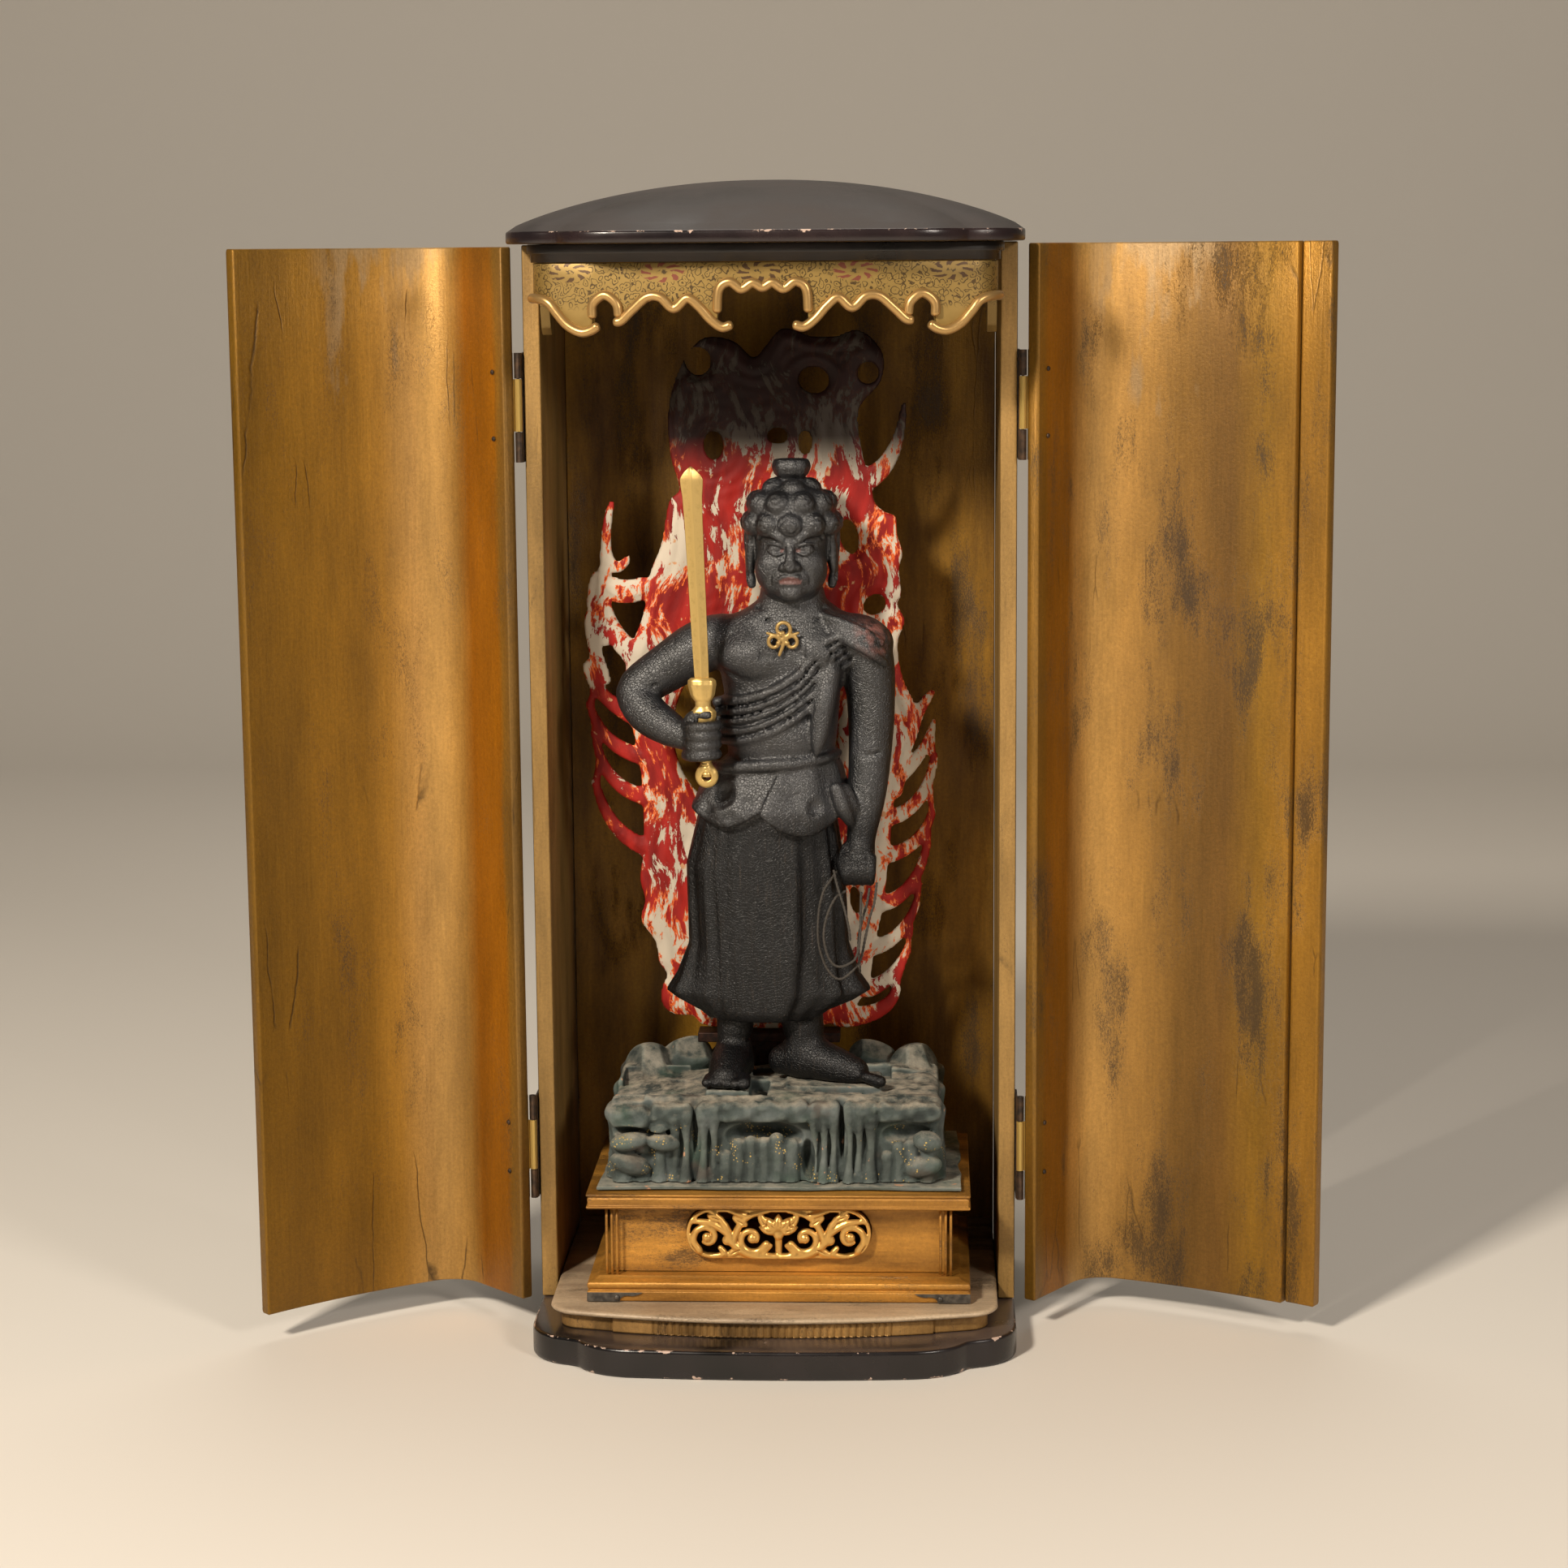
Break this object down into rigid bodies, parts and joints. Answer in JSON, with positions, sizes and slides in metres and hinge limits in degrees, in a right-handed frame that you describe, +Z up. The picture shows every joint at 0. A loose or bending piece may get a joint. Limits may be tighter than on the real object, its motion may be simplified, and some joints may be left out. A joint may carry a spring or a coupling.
{
  "type": "portable shrine",
  "caption": "Upright lacquered cabinet with bent gilt doors on hinges, holding a standing guardian figure on a rock before a flame mandorla, on a gilt plinth",
  "frame": {"origin": "the middle of the base slab's underside, in the plane of the cabinet's front jambs", "axes": "+Z up, the front faces -Y, +X is the viewer's right"},
  "size_m": [0.4593, 0.1762, 0.4963],
  "materials": {
    "lacquer": "black lacquer, worn at the edges",
    "gilt": "worn gold leaf over lacquer on wood",
    "gilt_bright": "brighter carved gilding on wood",
    "iron": "dark patinated iron",
    "figure_black": "satin black pigment on carved wood",
    "sword_gold": "pale gilt",
    "flame_red": "red, orange and white pigment over gesso, flaking",
    "rock_green": "matt green and grey pigment on carved wood",
    "cord": "dark twisted cord"
  },
  "bodies": {
    "cabinet": {"base_slab": "lacquer", "roof": "lacquer", "lintel": "lacquer", "side_left": "gilt", "side_right": "gilt", "back_panel": "gilt", "pelmet": "gilt", "platform_riser": "gilt", "platform_top": "gilt", "plinth_foot": "gilt", "plinth_body": "gilt", "plinth_top": "gilt", "plinth_openwork": "gilt_bright", "fitting_left": "iron", "fitting_right": "iron", "fitting_nail_left": "iron", "fitting_nail_right": "iron", "rock_slab": "rock_green", "rocks": "rock_green", "figure": "figure_black", "sword": "sword_gold", "pendant": "sword_gold", "flames": "flame_red", "flame_bracket": "iron", "cord_outer_loop": "cord", "cord_inner_loop": "cord", "cord_tail_left": "cord", "cord_tail_right": "cord", "hinge_left_upper_cabinet": "iron", "hinge_left_upper_pin": "iron", "hinge_left_lower_cabinet": "iron", "hinge_left_lower_pin": "iron", "hinge_right_upper_cabinet": "iron", "hinge_right_upper_pin": "iron", "hinge_right_lower_cabinet": "iron", "hinge_right_lower_pin": "iron"},
    "door_left": {"door_left": "gilt", "hinge_left_upper_door": "iron", "nail_left_upper_1": "iron", "nail_left_upper_2": "iron", "hinge_left_lower_door": "iron", "nail_left_lower_1": "iron", "nail_left_lower_2": "iron"},
    "door_right": {"door_right": "gilt", "door_right_strip": "gilt", "hinge_right_upper_door": "iron", "nail_right_upper_1": "iron", "nail_right_upper_2": "iron", "hinge_right_lower_door": "iron", "nail_right_lower_1": "iron", "nail_right_lower_2": "iron"}
  },
  "joints": [
    {"name": "door_left_hinge", "type": "hinge", "parent": "cabinet", "child": "door_left", "pos_m": [-0.1062, -0.002, 0.2425], "axis": [0, 0, 1], "range_deg": [-40, 134.5]},
    {"name": "door_right_hinge", "type": "hinge", "parent": "cabinet", "child": "door_right", "pos_m": [0.1062, -0.002, 0.2425], "axis": [0, 0, 1], "range_deg": [-145.5, 29]}
  ]
}
